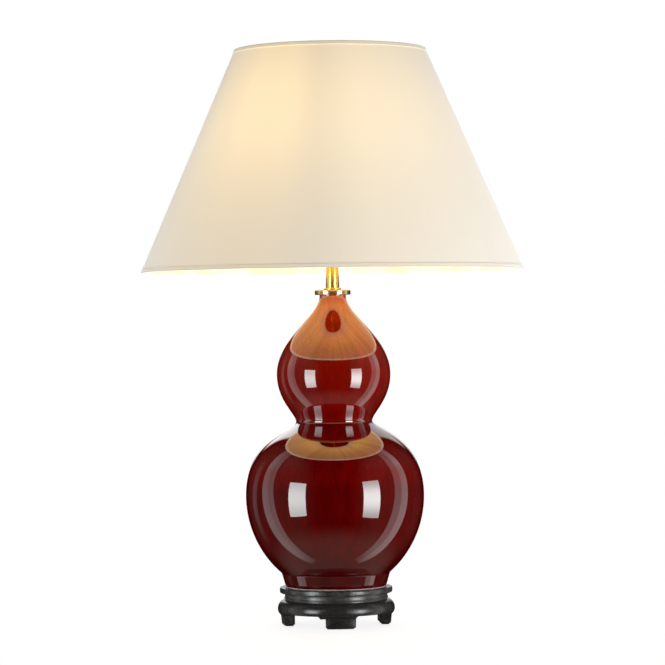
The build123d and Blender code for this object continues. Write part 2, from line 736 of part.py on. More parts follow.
def shade_skin():
    """Stiff fabric wall of the shade, with its lap seam inside at the back."""
    low, high = shade_z + hem_thickness + fit_gap, shade_top_z - hem_thickness - fit_gap
    skin = slanted(skin_out, skin_in, low, high)
    lap_angle = degrees(lap_width / shade_r((low + high) / 2))
    lap_low, lap_high = low + hem_height + fit_gap, high - hem_height - fit_gap
    depth = skin_out + skin_thickness * lean
    lap = turned((shade_r(lap_low) - depth, lap_low), (shade_r(lap_low) - skin_out, lap_low),
                 (shade_r(lap_high) - skin_out, lap_high), (shade_r(lap_high) - depth, lap_high),
                 arc=lap_angle)
    return skin + Rot(0, 0, 90 - lap_angle / 2) * lap


def hem(edge_z, up, wire):
    """Folded strip round an edge of the shade and its wire ring; up is 1 below and -1 at the top."""
    inner = hem_inner(wire)
    heights = [edge_z, edge_z + up * hem_thickness, edge_z + up * hem_height]
    edge, web, end = heights

    def at(depth, height):
        return (shade_r(height) - depth, height)

    return turned(at(0, edge), at(0, end), at(hem_depth, end), at(hem_depth, web), at(inner, web),
                  at(inner, end), at(inner + hem_depth, end), at(inner + hem_depth, edge))


def ring_place(edge_z, up, wire):
    """Radius and height of the middle of a wire ring inside its hem."""
    height = edge_z + up * (hem_thickness + fit_gap + wire / 2)
    return shade_r(height) - skin_out - (fit_gap + wire / 2) * lean, height


def arm_places(shape):
    """Copies of a shape that lies along +X, one for each arm of the spider."""
    return [Rot(0, 0, spider_turn + n * 360 / spider_arms) * shape for n in range(spider_arms)]


def top_hem():
    """Upper hem, notched where the spider's arms reach the ring."""
    strip = hem(shade_top_z, -1, top_ring_wire)
    inner_r = ring_place(shade_top_z, -1, top_ring_wire)[0] - top_ring_wire / 2
    notch_w = spider_wire / 2 + running_gap
    notch = box_between((0, -notch_w, shade_top_z - 2 * hem_height),
                        (inner_r, notch_w, shade_top_z - hem_thickness))
    for cut in arm_places(notch):
        strip -= cut
    return strip


def wire_ring(edge_z, up, wire):
    """Round wire ring inside a hem."""
    radius, height = ring_place(edge_z, up, wire)
    return Pos(0, 0, height) * Torus(radius, wire / 2)


def shade_spider():
    """Hub with three wire arms that rise to the top ring."""
    ring_r, ring_z = ring_place(shade_top_z, -1, top_ring_wire)
    hub_r, wire_r, level = hub_d / 2, spider_wire / 2, hub_z + hub_thickness / 2
    start, bend = hub_r - wire_r, hub_r + spider_flat
    reach = ring_r - top_ring_wire / 2 - fit_gap
    corners = [(start, level), (bend, level), (reach - spider_end, ring_z), (reach, ring_z)]
    path = FilletPolyline([(r, 0, z) for r, z in corners], radius=[spider_bend_r, spider_end_r])
    arm = sweep(Plane(origin=path @ 0, z_dir=path % 0) * Circle(wire_r), path)
    hub = Pos(0, 0, level) * Cylinder(hub_r, hub_thickness)
    for piece in arm_places(arm):
        hub += piece
    return hub - Pos(0, 0, level) * Cylinder(stud_d / 2 + running_gap, 4 * hub_thickness)


# ---- finial ----
def finial():
    """Turned knob with a foot, a neck and a ball, bored from below for the stud."""
    base_r, neck_r, ball_r = finial_base_d / 2, finial_neck_d / 2, finial_ball_d / 2
    low, high = finial_z, finial_z + finial_height
    base_top = low + finial_base_height
    ball_z = high - ball_r
    ball_low = ball_z - sqrt(ball_r**2 - neck_r**2)
    ball = ThreePointArc((neck_r, 0, ball_low), (ball_r, 0, ball_z), (0, 0, high))
    cove_low, cove_high = base_top - finial_cove / 2, base_top + finial_cove / 2
    foot = Polyline((0, 0, high), (0, 0, low), (base_r, 0, low), (base_r, 0, cove_low))
    cove = TangentArc((neck_r, 0, cove_high), (base_r, 0, cove_low), tangent=(0, 0, -1))
    neck = Line((neck_r, 0, cove_high), (neck_r, 0, ball_low))
    knob = revolve(make_face([ball, foot, cove, neck]), Axis.Z)
    bore_top = shade_seat_z + stud_length + finial_wall_above_stud
    return knob - rod_z(stud_d / 2 + running_gap, low - finial_base_height, bore_top)


def main():
    """Make every piece and write it."""
    pieces = {
        "stand": stand(),
        "foot_pads": foot_pads(),
        "pipe_washer": tube(washer_d / 2, pipe_r + fit_gap, nut_z + nut_thickness, web_z),
        "pipe_nut": hex_nut(),
        "cord_bush": cord_bush(),
        "lamp_pipe": tube(pipe_r, pipe_bore / 2, pipe_z, pipe_top),
        "vase": vase(),
        "neck_bush": tube(neck_bore / 2 - fit_gap, pipe_r + fit_gap, vase_top - neck_bush_height, vase_top),
        "cap_gasket": tube(neck_d / 2, pipe_r + fit_gap, vase_top, cap_z),
        "vase_cap": vase_cap(),
        "seat_ring": seat_ring(),
        "neck_tube": tube(neck_tube_d / 2, neck_tube_d / 2 - neck_tube_wall, neck_tube_z, saddle_z),
        "harp_saddle": harp_saddle(),
        "harp": harp(),
        "harp_stud": harp_stud(),
        "harp_ferrule_front": harp_side(harp_ferrule()),
        "harp_ferrule_rear": harp_side(Rot(0, 0, 180) * harp_ferrule()),
        "socket_cap": socket_cap(),
        "set_screw": set_screw(),
        "socket_shell": socket_shell(),
        "shell_liner": shell_liner(),
        "socket_body": socket_body(),
        "terminal_screws": terminal_screws(),
        "screw_shell": screw_shell(),
        "centre_contact": centre_contact(),
        "switch_stem": switch_stem(),
        "switch_knob": switch_knob(),
        "bulb_glass": bulb_glass(),
        "bulb_cap": bulb_cap(),
        "bulb_insulator": bulb_insulator(),
        "bulb_contact": bulb_contact(),
        "shade_skin": shade_skin(),
        "shade_top_hem": top_hem(),
        "shade_bottom_hem": hem(shade_z, 1, bottom_ring_wire),
        "shade_top_ring": wire_ring(shade_top_z, -1, top_ring_wire),
        "shade_bottom_ring": wire_ring(shade_z, 1, bottom_ring_wire),
        "shade_spider": shade_spider(),
        "finial": finial(),
    }
    for name, shape in pieces.items():
        save(shape, name)
    print(f"shade {shade_z:.1f} to {shade_top_z:.1f}, finial top {finial_z + finial_height:.1f}")
    print(f"bulb {bulb_z:.1f} to {bulb_z + bulb_length:.1f}")
    print(f"harp {saddle_z:.1f} to {shade_seat_z:.1f}")


main()
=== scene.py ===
"""Double gourd table lamp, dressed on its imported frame.

Glazed vase, lacquered stand, brass fittings, harp, bulb and empire shade, each made by its own operator,
and a small photographic studio round them. Metres, +Z up, the front of the lamp faces -Y.
"""
import json
import math

import bmesh
import bpy
from bpy.props import FloatProperty, FloatVectorProperty, IntProperty, PointerProperty
from bpy.types import Operator, Panel, PropertyGroup
from mathutils import Matrix, Vector

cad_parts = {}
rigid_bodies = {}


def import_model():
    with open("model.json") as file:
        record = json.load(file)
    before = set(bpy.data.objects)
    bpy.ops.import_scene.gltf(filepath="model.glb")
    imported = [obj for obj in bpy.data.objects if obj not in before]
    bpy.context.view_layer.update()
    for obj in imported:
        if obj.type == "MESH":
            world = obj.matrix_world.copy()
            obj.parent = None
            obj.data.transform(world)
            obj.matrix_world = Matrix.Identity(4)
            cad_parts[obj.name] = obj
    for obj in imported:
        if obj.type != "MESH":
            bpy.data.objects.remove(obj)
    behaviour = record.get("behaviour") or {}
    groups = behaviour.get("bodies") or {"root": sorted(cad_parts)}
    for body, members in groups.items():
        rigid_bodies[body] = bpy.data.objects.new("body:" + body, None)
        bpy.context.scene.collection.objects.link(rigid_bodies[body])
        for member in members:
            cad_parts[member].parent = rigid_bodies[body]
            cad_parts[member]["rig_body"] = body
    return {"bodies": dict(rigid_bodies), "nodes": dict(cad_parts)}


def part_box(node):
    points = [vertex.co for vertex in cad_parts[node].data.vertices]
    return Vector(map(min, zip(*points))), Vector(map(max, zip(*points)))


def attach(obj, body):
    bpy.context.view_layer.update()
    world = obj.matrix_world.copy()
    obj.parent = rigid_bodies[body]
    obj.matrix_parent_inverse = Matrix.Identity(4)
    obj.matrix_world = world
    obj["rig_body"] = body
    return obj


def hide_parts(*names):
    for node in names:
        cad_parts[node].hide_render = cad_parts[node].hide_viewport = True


bl_info = {
    "name": "Double Gourd Lamp",
    "version": (1, 0, 0),
    "blender": (4, 5, 0),
    "location": "3D Viewport > Sidebar > Gourd Lamp",
    "description": "Glazed vase, stand, brass fittings and shade of a table lamp, made on its CAD frame",
    "category": "Add Mesh",
}

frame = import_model()
NODES = frame["nodes"]

STAND_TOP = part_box("stand")[1].z
SHADE_LOW, SHADE_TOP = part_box("shade_bottom_hem")[0].z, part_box("shade_top_hem")[1].z
WELD = 0.000002         # points closer together than this become one
SHARP = 32.0            # edges that bend by more degrees than this stay sharp


# ---- properties ----
def length(name, default, description):
    """A length that the panel shows in scene units."""
    return FloatProperty(name=name, description=description, default=default, min=0.0, unit="LENGTH",
                         precision=4)


def colour(name, default, description):
    """A linear colour."""
    return FloatVectorProperty(name=name, description=description, default=default, size=3, min=0.0, max=1.0,
                               subtype="COLOR")


class VaseSettings(PropertyGroup):
    belly_width: length("Belly width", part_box("vase")[1].x * 2, "Across the lower gourd")
    belly_height: length("Belly height", 0.1087, "Widest part of the lower gourd, above the vase's foot")
    waist_width: length("Waist width", 0.0908, "Across the waist between the gourds")
    waist_height: length("Waist height", 0.1973, "Height of the waist above the vase's foot")
    upper_width: length("Upper gourd width", 0.1354, "Across the upper gourd")
    upper_height: length("Upper gourd height", 0.2528, "Widest part of the upper gourd, above the foot")
    neck_width: length("Neck width", 0.0314, "Across the neck")
    neck_height: length("Neck height", 0.345, "Where the neck turns straight, above the foot")
    foot_width: length("Foot width", 0.1194, "Across the foot ring where it meets the stand")
    ring_width: length("Ring width", 0.129, "Across the corner between foot ring and belly")
    ring_height: length("Ring height", 0.0165, "Height of the foot ring")
    wall: length("Wall", 0.006, "Thickness of the clay")
    segments: IntProperty(name="Segments", description="Steps round the vase", default=160, min=24, max=256)
    deep_red: colour("Deep red", (0.059, 0.0003, 0.0003), "Thick glaze on the belly")
    thin_red: colour("Thin red", (0.300, 0.0310, 0.0012), "Thin glaze at the neck")
    clay: colour("Clay", (0.72, 0.56, 0.50), "Bare foot rim under the glaze")


class StandSettings(PropertyGroup):
    edge: length("Edge rounding", 0.0005, "Worn rounding of the sawn edges")
    lacquer: colour("Lacquer", (0.0255, 0.024, 0.024), "Black lacquer on the wood")
    rubbed: colour("Rubbed wood", (0.060, 0.052, 0.050), "Where the lacquer has worn on the edges")


class BrassSettings(PropertyGroup):
    cap_width: length("Cap width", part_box("vase_cap")[1].x * 2, "Across the brass cap on the neck")
    tube_width: length("Tube width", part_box("neck_tube")[1].x * 2, "Across the neck tube")
    brass: colour("Brass", (0.90, 0.665, 0.18), "Polished brass")
    cap_brass: colour("Cap brass", (0.69, 0.56, 0.37), "Paler, duller brass of the cap on the neck")


class ShadeSettings(PropertyGroup):
    low_width: length("Lower width", 0.4572, "Across the shade's lower edge")
    top_width: length("Top width", 0.2286, "Across the shade's top edge")
    wall: length("Wall", 0.00087, "Thickness of fabric and backing")
    cloth: colour("Cloth", (0.74, 0.72, 0.668), "Fine cream cotton")
    glow: colour("Glow", (1.0, 0.70, 0.30), "Lamp light through the cloth")
    glow_strength: FloatProperty(name="Glow strength", description="Light through the cloth at its brightest",
                                 default=0.70, min=0.0)
    lining_strength: FloatProperty(name="Lining strength", description="Light from the lit lining",
                                   default=1.45, min=0.0)


class SwitchSettings(PropertyGroup):
    knob: colour("Knob", (0.012, 0.012, 0.012), "Moulded black plastic")


class LampSettings(PropertyGroup):
    vase: PointerProperty(type=VaseSettings)
    stand: PointerProperty(type=StandSettings)
    brass: PointerProperty(type=BrassSettings)
    shade: PointerProperty(type=ShadeSettings)
    switch: PointerProperty(type=SwitchSettings)


# ---- node trees ----
def add(tree, kind, inputs=None, **settings):
    """Add a node; inputs are given by name or number, as values or as sockets to link."""
    node = tree.nodes.new(kind)
    for key, value in settings.items():
        setattr(node, key, value)
    for key, value in (inputs or {}).items():
        if isinstance(value, bpy.types.NodeSocket):
            tree.links.new(value, node.inputs[key])
        else:
            node.inputs[key].default_value = value
    return node


def calc(tree, operation, *values, **settings):
    """A Math node's result."""
    return add(tree, "ShaderNodeMath", dict(enumerate(values)), operation=operation, **settings).outputs[0]


def times(tree, *values):
    """The product of two or more values."""
    result = values[0]
    for value in values[1:]:
        result = calc(tree, "MULTIPLY", result, value)
    return result


def plus(tree, *values):
    """The sum of two or more values."""
    result = values[0]
    for value in values[1:]:
        result = calc(tree, "ADD", result, value)
    return result


def across(tree, a, b):
    """The long side of a right angle with sides a and b."""
    return calc(tree, "SQRT", plus(tree, times(tree, a, a), times(tree, b, b)))


def split(tree, vector):
    """The x, y and z of a vector."""
    return add(tree, "ShaderNodeSeparateXYZ", {0: vector}).outputs


def joined(tree, x=0.0, y=0.0, z=0.0):
    """A vector from its x, y and z."""
    return add(tree, "ShaderNodeCombineXYZ", {0: x, 1: y, 2: z}).outputs[0]


def fade(tree, value, low, high, start=0.0, end=1.0, kind="SMOOTHSTEP"):
    """Value mapped from low..high to start..end, eased between them and held beyond them."""
    return add(tree, "ShaderNodeMapRange", {"Value": value, "From Min": low, "From Max": high, "To Min": start,
                                            "To Max": end}, interpolation_type=kind).outputs["Result"]


def ramp(tree, value, low, high, start=0.0, end=1.0):
    """As fade, in a straight line."""
    return fade(tree, value, low, high, start, end, "LINEAR")


def scaled(base, factor):
    """A colour made lighter or darker."""
    return tuple(min(1.0, factor * v) for v in base)


def blend_colours(tree, factor, first, second):
    """Two colours mixed by a factor."""
    node = add(tree, "ShaderNodeMix", data_type="RGBA")
    for key, value in ((0, factor), (6, first), (7, second)):
        if isinstance(value, bpy.types.NodeSocket):
            tree.links.new(value, node.inputs[key])
        else:
            node.inputs[key].default_value = value if key == 0 else (*value, 1.0)
    return node.outputs[2]


def grain(tree, point, scale, detail=2.0, roughness=0.5, stretch=(1, 1, 1), distortion=0.0):
    """Noise on object coordinates, stretched along the axes."""
    stretched = add(tree, "ShaderNodeMapping", {"Vector": point, "Scale": stretch}).outputs[0]
    return add(tree, "ShaderNodeTexNoise", {"Vector": stretched, "Scale": scale, "Detail": detail,
                                            "Roughness": roughness, "Distortion": distortion}).outputs["Fac"]


def new_material(name, **constants):
    """A material with a Principled shader, its tree, the shader and its object coordinates."""
    material = bpy.data.materials.new(name)
    material.use_nodes = True
    tree = material.node_tree
    shader = tree.nodes["Principled BSDF"]
    for key, value in constants.items():
        socket = shader.inputs[key.replace("_", " ").title().replace("Ior", "IOR")]
        socket.default_value = (*value, 1.0) if socket.type == "RGBA" else value
    point = add(tree, "ShaderNodeTexCoord").outputs["Object"]
    return material, tree, shader, point


def bump(tree, shader, height, strength, distance):
    """Bump from a height pattern."""
    node = add(tree, "ShaderNodeBump", {"Height": height, "Strength": strength, "Distance": distance})
    tree.links.new(node.outputs[0], shader.inputs["Normal"])
    return node


def red_glaze(settings):
    """Deep red high-gloss glaze, thinner and browner towards the neck, over a bare clay foot rim."""
    glossy, bare_clay = 0.035, 0.7
    material, tree, shader, point = new_material("red glaze", roughness=glossy, ior=1.75, coat_ior=1.75,
                                                 coat_roughness=0.03)
    z = split(tree, point)[2]
    cloud = grain(tree, point, 26, 4, 0.6, (1, 1, 0.45))
    streak = grain(tree, point, 150, 3, 0.6, (1, 1, 0.20), 0.4)
    # each channel goes from deep to thin by equal ratios, as light does through glass
    thin = calc(tree, "POWER", ramp(tree, z, 0.19, 0.392), 1.25)
    thin = plus(tree, thin, times(tree, calc(tree, "SUBTRACT", streak, 0.5), 0.14))
    channels = [times(tree, calc(tree, "POWER", light / deep, thin), deep)
                for deep, light in zip(settings.deep_red, settings.thin_red)]
    tone = plus(tree, times(tree, cloud, 0.40), times(tree, streak, 0.45))
    tone = ramp(tree, tone, 0.25, 0.6, 0.70, 1.32)
    # painted light: the glaze is drawn a little lighter on the upward-facing shoulder below the waist
    painted_shoulder_light = times(tree, fade(tree, z, 0.155, 0.190), fade(tree, z, 0.258, 0.232))
    tone = times(tree, tone, fade(tree, painted_shoulder_light, 0, 1, 1.0, 1.55))
    body = add(tree, "ShaderNodeVectorMath", {0: joined(tree, *channels), 1: joined(tree, tone, tone, tone)},
               operation="MULTIPLY").outputs[0]
    flecks = times(tree, fade(tree, grain(tree, point, 1500, 1, 0.5), 0.72, 0.80), 0.25)
    body = blend_colours(tree, flecks, body, (0.16, 0.02, 0.01))
    # it stops in an uneven line just above the stand
    height = plus(tree, z, times(tree, cloud, 0.0008))
    bare = fade(tree, height, STAND_TOP + 0.0018, STAND_TOP + 0.0013)
    tree.links.new(blend_colours(tree, bare, body, settings.clay), shader.inputs["Base Color"])
    tree.links.new(ramp(tree, bare, 0, 1, glossy, bare_clay), shader.inputs["Roughness"])
    ripple, peel = grain(tree, point, 22, 1, 0.4), grain(tree, point, 260, 1, 0.5)
    surface = bump(tree, shader, plus(tree, ripple, times(tree, peel, 0.004)), 0.25, 0.0006)
    # the glaze runs down and leaves a glassier coat where it lay on the two shoulders
    upper = fade(tree, z, 0.299, 0.317)
    lower = times(tree, fade(tree, z, 0.183, 0.197), fade(tree, z, 0.262, 0.238))
    tree.links.new(times(tree, calc(tree, "MAXIMUM", upper, lower), 0.80), shader.inputs["Coat Weight"])
    tree.links.new(surface.outputs[0], shader.inputs["Coat Normal"])
    return material


def black_wood(settings):
    """Turned hardwood under worn black lacquer, with open pores along the plank."""
    material, tree, shader, point = new_material("black wood", roughness=0.3, ior=1.58)
    long_grain = grain(tree, point, 60, 6, 0.65, (0.10, 1, 1), 0.3)
    pores = grain(tree, point, 420, 2, 0.6, (0.05, 1, 1))
    rub = grain(tree, point, 85, 5, 0.7)
    pits = fade(tree, grain(tree, point, 230, 3, 0.55), 0.60, 0.66)
    edge = fade(tree, add(tree, "ShaderNodeNewGeometry").outputs["Pointiness"], 0.52, 0.58)
    worn = times(tree, edge, fade(tree, rub, 0.38, 0.60))
    worn = calc(tree, "ADD", worn, times(tree, fade(tree, long_grain, 0.50, 0.72), 0.30), use_clamp=True)
    body = blend_colours(tree, worn, settings.lacquer, settings.rubbed)
    # painted light: the turned waist is drawn paler grey than the lacquer round it, and turning marks run round the
    # wood
    x, y, z = split(tree, point)
    waist = times(tree, fade(tree, z, 0.0285, 0.0310), fade(tree, z, 0.0395, 0.0375))
    body = blend_colours(tree, times(tree, waist, 0.8), body, (0.058, 0.057, 0.054))
    round_it = times(tree, calc(tree, "ARCTAN2", y, x), 0.007)
    turning = grain(tree, joined(tree, round_it, across(tree, x, y), z), 480, 3, 0.6)
    body = blend_colours(tree, times(tree, pits, 0.7), body, (0.004, 0.004, 0.004))
    tree.links.new(body, shader.inputs["Base Color"])
    rough = plus(tree, ramp(tree, rub, 0.3, 0.7, 0.20, 0.32), times(tree, pits, 0.22),
                 ramp(tree, turning, 0.35, 0.65, -0.03, 0.07))
    tree.links.new(rough, shader.inputs["Roughness"])
    height = calc(tree, "SUBTRACT", times(tree, pores, 0.5), times(tree, pits, 0.3))
    height = plus(tree, times(tree, long_grain, 0.7), height, times(tree, turning, 0.5))
    bump(tree, shader, height, 0.22, 0.0006)
    return material


def felt():
    """Dark pressed wool."""
    material, tree, shader, point = new_material("wool felt", roughness=0.95, sheen_weight=0.35)
    fibre = grain(tree, point, 900, 4, 0.7)
    tree.links.new(blend_colours(tree, fibre, (0.012, 0.012, 0.013), (0.05, 0.05, 0.052)), shader.inputs["Base Color"])
    bump(tree, shader, fibre, 0.6, 0.0004)
    return material


def metal(name, base, roughness, brushed=(1, 1, 1), scratch=0.12, spread=0.08):
    """A metal with fine working marks, stretched along the way it was worked."""
    material, tree, shader, point = new_material(name, metallic=1.0, roughness=roughness)
    marks = grain(tree, point, 900, 2, 0.6, brushed)
    smudge = grain(tree, point, 60, 3, 0.6)
    tone = blend_colours(tree, fade(tree, smudge, 0.35, 0.7), base, scaled(base, 0.80))
    tree.links.new(tone, shader.inputs["Base Color"])
    rough = plus(tree, ramp(tree, smudge, 0.3, 0.7, roughness, roughness + spread), times(tree, marks, 0.04))
    tree.links.new(rough, shader.inputs["Roughness"])
    bump(tree, shader, marks, scratch, 0.0001)
    return material


def moulded(name, base, roughness=0.42, speckle=0.25, texture=700):
    """Moulded plastic, rubber or card: a fine surface with a little variation."""
    material, tree, shader, point = new_material(name, roughness=roughness)
    cloud = grain(tree, point, 110, 3, 0.6)
    light = tuple(min(1.0, v * (1 + speckle) + 0.004) for v in base)
    tree.links.new(blend_colours(tree, cloud, base, light), shader.inputs["Base Color"])
    tree.links.new(ramp(tree, cloud, 0.3, 0.7, roughness - 0.05, roughness + 0.08), shader.inputs["Roughness"])
    bump(tree, shader, grain(tree, point, texture, 3, 0.6), 0.15, 0.0003)
    return material


def frosted_glass():
    """Opal glass of a lit bulb: brightest from halfway up, dimmer towards its screw cap."""
    material, tree, shader, point = new_material("opal glass", roughness=0.25)
    low, high = (corner.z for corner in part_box("bulb_glass"))
    heat = fade(tree, split(tree, point)[2], low + 0.01, low + 0.55 * (high - low), 0.5, 1.0)
    heat = times(tree, heat, fade(tree, grain(tree, point, 60, 2), 0.2, 0.8, 0.94, 1.06))
    shader.inputs["Base Color"].default_value = (0.26, 0.25, 0.23, 1)
    shader.inputs["Emission Color"].default_value = (1.0, 0.76, 0.44, 1)
    tree.links.new(times(tree, heat, 1.25), shader.inputs["Emission Strength"])
    return material


def glow_pattern(tree, point, settings):
    """The painted glow: how brightly the bulb lights the wall, by distance and slope, with the angle and radius of the
    place.
    """
    bulb_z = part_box("bulb_glass")[1].z - 0.030      # the middle of the bulb's globe
    brightest = 39.3                                # the light where the wall is nearest to it, counted as 1
    x, y, z = split(tree, point)
    radius = across(tree, x, y)
    rise, run = SHADE_TOP - SHADE_LOW, (settings.low_width - settings.top_width) / 2
    slant = math.hypot(rise, run)
    up = calc(tree, "SUBTRACT", z, bulb_z)
    away = across(tree, radius, up)
    facing = plus(tree, times(tree, radius, rise / slant), times(tree, up, run / slant))
    light = times(tree, calc(tree, "DIVIDE", facing, calc(tree, "POWER", away, 3.0)), 1 / brightest)
    return light, calc(tree, "ARCTAN2", y, x), radius


def cloth(settings, name, strength, lining=False, hem=False):
    """Fine plain-woven cotton, with the bulb's light through it painted on as a glow."""
    material, tree, shader, point = new_material(name, roughness=0.85, sheen_weight=0.12, sheen_roughness=0.5)
    light, angle, radius = glow_pattern(tree, point, settings)
    z = split(tree, point)[2]
    along = joined(tree, times(tree, angle, 0.17), z)
    weft = grain(tree, along, 260, 3, 0.6, (0.10, 3.0, 1))
    warp = grain(tree, along, 260, 3, 0.6, (3.0, 0.10, 1))
    weave = plus(tree, times(tree, weft, 0.5), times(tree, warp, 0.5))
    painted_glow_through = ramp(tree, weave, 0.38, 0.62, 0.97, 1.03)
    if hem:
        # painted glow: four layers of cloth let less light through, and the fold itself almost none
        top = calc(tree, "SUBTRACT", SHADE_TOP, z)
        fold = calc(tree, "MINIMUM", top, calc(tree, "SUBTRACT", z, SHADE_LOW))
        fold = fade(tree, fold, 0.0006, 0.0014, 0.50, 1.0)
        painted_glow_through = times(tree, painted_glow_through, fold, fade(tree, top, 0.005, 0.2, 0.70, 0.82))
    # the cloth laps over itself in one seam at the back, where less of the painted glow comes through
    seam = times(tree, calc(tree, "SUBTRACT", angle, math.pi / 2), radius)
    lap = times(tree, fade(tree, seam, -0.0004, 0.0001), fade(tree, seam, 0.0092, 0.0086))
    painted_glow_through = times(tree, painted_glow_through, fade(tree, lap, 0, 1, 1.0, 0.86))
    if lining:
        # painted lamp light on the lining: creamy along the hem, amber above it, paler again at the crown, and
        # streaked up and down with painted shadows of the harp and spider
        shader.inputs["Base Color"].default_value = (0.34, 0.25, 0.12, 1)
        above_hem = fade(tree, z, SHADE_LOW + 0.005, SHADE_LOW + 0.018)
        amber = fade(tree, z, SHADE_LOW + 0.02, SHADE_LOW + 0.10)
        crown = fade(tree, z, SHADE_TOP - 0.075, SHADE_TOP - 0.020)
        warm = blend_colours(tree, amber, (1.0, 0.58, 0.235), (1.0, 0.55, 0.155))
        warm = blend_colours(tree, crown, warm, (1.0, 0.72, 0.36))
        tree.links.new(blend_colours(tree, above_hem, (1.0, 0.88, 0.58), warm), shader.inputs["Emission Color"])
        painted_shadow_streaks = ramp(tree, grain(tree, along, 32, 2, 0.5, (1, 0.02, 1)), 0.34, 0.66, 0.72, 1.16)
        levels = times(tree, painted_shadow_streaks, fade(tree, crown, 0, 1, 1.0, 0.80), fade(tree, above_hem, 0, 1, 1.85, 1.0))
        glow = times(tree, ramp(tree, light, 0.0, 1.0, 0.24, 1.16), painted_glow_through, levels)
    else:
        tint = blend_colours(tree, weave, scaled(settings.cloth, 0.97), scaled(settings.cloth, 1.03))
        if hem:
            # painted shade: the cloth is drawn darker along the hems' folded edges
            tint = blend_colours(tree, fold, scaled(settings.cloth, 0.86), tint)
        seam_edge = times(tree, fade(tree, seam, -0.0008, -0.0004), fade(tree, seam, 0.0003, 0.0))
        tint = blend_colours(tree, times(tree, seam_edge, 0.5), tint, scaled(settings.cloth, 0.6))
        tree.links.new(tint, shader.inputs["Base Color"])
        shader.inputs["Emission Color"].default_value = (*settings.glow, 1)
        # the painted glow is uneven: these levels run from left to right in front, and again as seen from behind
        half_turn = calc(tree, "FRACT", plus(tree, calc(tree, "DIVIDE", angle, math.pi), 1.0))
        node = add(tree, "ShaderNodeValToRGB", {0: half_turn})
        stops = node.color_ramp
        stops.interpolation = "CARDINAL"
        levels = {0.0: 0.24, 0.14: 0.60, 0.25: 0.92, 0.33: 1.06, 0.42: 0.92, 0.47: 0.76, 0.60: 0.76, 0.80: 0.46,
                  1.0: 0.24}
        for place in sorted(levels)[1:-1]:
            stops.elements.new(place)
        for stop, level in zip(stops.elements, levels.values()):
            stop.color = (level, level, level, 1)
        glow = times(tree, ramp(tree, light, 0.0, 1.0, 0.28, 1.0), node.outputs[0], painted_glow_through)
    tree.links.new(times(tree, glow, strength), shader.inputs["Emission Strength"])
    bump(tree, shader, weave, 0.35, 0.0002)
    material.cycles.emission_sampling = "NONE"
    return material


def finish(name):
    """The material of a record slot, made once."""
    lamp = bpy.context.scene.lamp_settings
    made = {
        "red_glaze": lambda: red_glaze(lamp.vase),
        "black_wood": lambda: black_wood(lamp.stand),
        "felt": felt,
        "polished_brass": lambda: metal("polished brass", tuple(lamp.brass.brass), 0.19, (1, 1, 6), 0.45),
        "cap_brass": lambda: metal("pale brass", tuple(lamp.brass.cap_brass), 0.17, (1, 1, 6), 0.3),
        "steel": lambda: metal("zinc plated steel", (0.56, 0.56, 0.54), 0.32, (1, 1, 1), 0.2, 0.14),
        "aluminium": lambda: metal("rolled aluminium", (0.80, 0.80, 0.80), 0.25, (1, 1, 8)),
        "solder": lambda: metal("soft solder", (0.58, 0.58, 0.57), 0.38, (1, 1, 1), 0.3, 0.15),
        "rubber": lambda: moulded("grey rubber", (0.03, 0.03, 0.03), 0.75),
        "card": lambda: moulded("insulating card", (0.30, 0.22, 0.14), 0.85, 0.3, 1400),
        "phenolic": lambda: moulded("brown phenolic", (0.020, 0.012, 0.009), 0.45, 0.6),
        "black_plastic": lambda: moulded("black plastic", tuple(lamp.switch.knob), 0.33, 0.5),
        "black_glass": lambda: moulded("black glass", (0.006, 0.006, 0.008), 0.12, 0.3),
        "frosted_glass": frosted_glass,
        "shade_fabric": lambda: cloth(lamp.shade, "shade cloth", lamp.shade.glow_strength),
        "shade_lining": lambda: cloth(lamp.shade, "shade lining", lamp.shade.lining_strength, True),
        "hem_fabric": lambda: cloth(lamp.shade, "hem cloth", lamp.shade.glow_strength, hem=True),
    }
    key = f"made {name}"
    kept = bpy.context.scene.get(key)
    if kept is None:
        kept = made[name]()
        bpy.context.scene[key] = kept
    return kept


# ---- outlines, as (radius, height) points ----
def arc(centre, radius, start, end, steps):
    """Points on a circle between two angles in degrees, from +radius towards +height."""
    angles = [math.radians(start + (end - start) * n / steps) for n in range(steps + 1)]
    return [(centre[0] + radius * math.cos(a), centre[1] + radius * math.sin(a)) for a in angles]


def swell(low, high, rise, fall, steps, lean=0.0):
    """A curve whose handles are shares of its height; upright at both ends, or leaning at the upper one."""
    span = high[1] - low[1]
    a, b = Vector(low), Vector(low) + Vector((0, rise * span))
    c, d = Vector(high) - Vector((-lean, fall * span)), Vector(high)
    points = []
    for n in range(steps + 1):
        t = n / steps
        p = a * (1 - t) ** 3 + b * 3 * t * (1 - t) ** 2 + c * 3 * t * t * (1 - t) + d * t ** 3
        points.append((p.x, p.y))
    return points


def rounded(points, radii, steps=5):
    """A closed outline with each corner rounded by its radius; a single radius serves every corner."""
    straight, most = math.radians(178), 0.45        # most: the share of a side that one corner may take
    if not isinstance(radii, (list, tuple)):
        radii = [radii] * len(points)
    result = []
    for n, corner in enumerate(points):
        before, here, after = Vector(points[n - 1]), Vector(corner), Vector(points[(n + 1) % len(points)])
        into, out = (before - here), (after - here)
        angle = into.angle(out, math.pi)
        if radii[n] <= 0 or angle > straight:
            result.append(tuple(here))
            continue
        reach = min(radii[n] / math.tan(angle / 2), most * into.length, most * out.length)
        first, last = here + into.normalized() * reach, here + out.normalized() * reach
        for k in range(steps + 1):
            t = k / steps
            p = first * (1 - t) ** 2 + here * 2 * t * (1 - t) + last * t * t
            result.append(tuple(p))
    return result


def set_input(modifier, tree, name, value):
    """Give a modifier's input its value by the socket's identifier."""
    for item in tree.interface.items_tree:
        if item.item_type == "SOCKET" and item.in_out == "INPUT" and item.name == name:
            modifier[item.identifier] = value
            return
    raise RuntimeError(f"{tree.name} has no input named {name}")


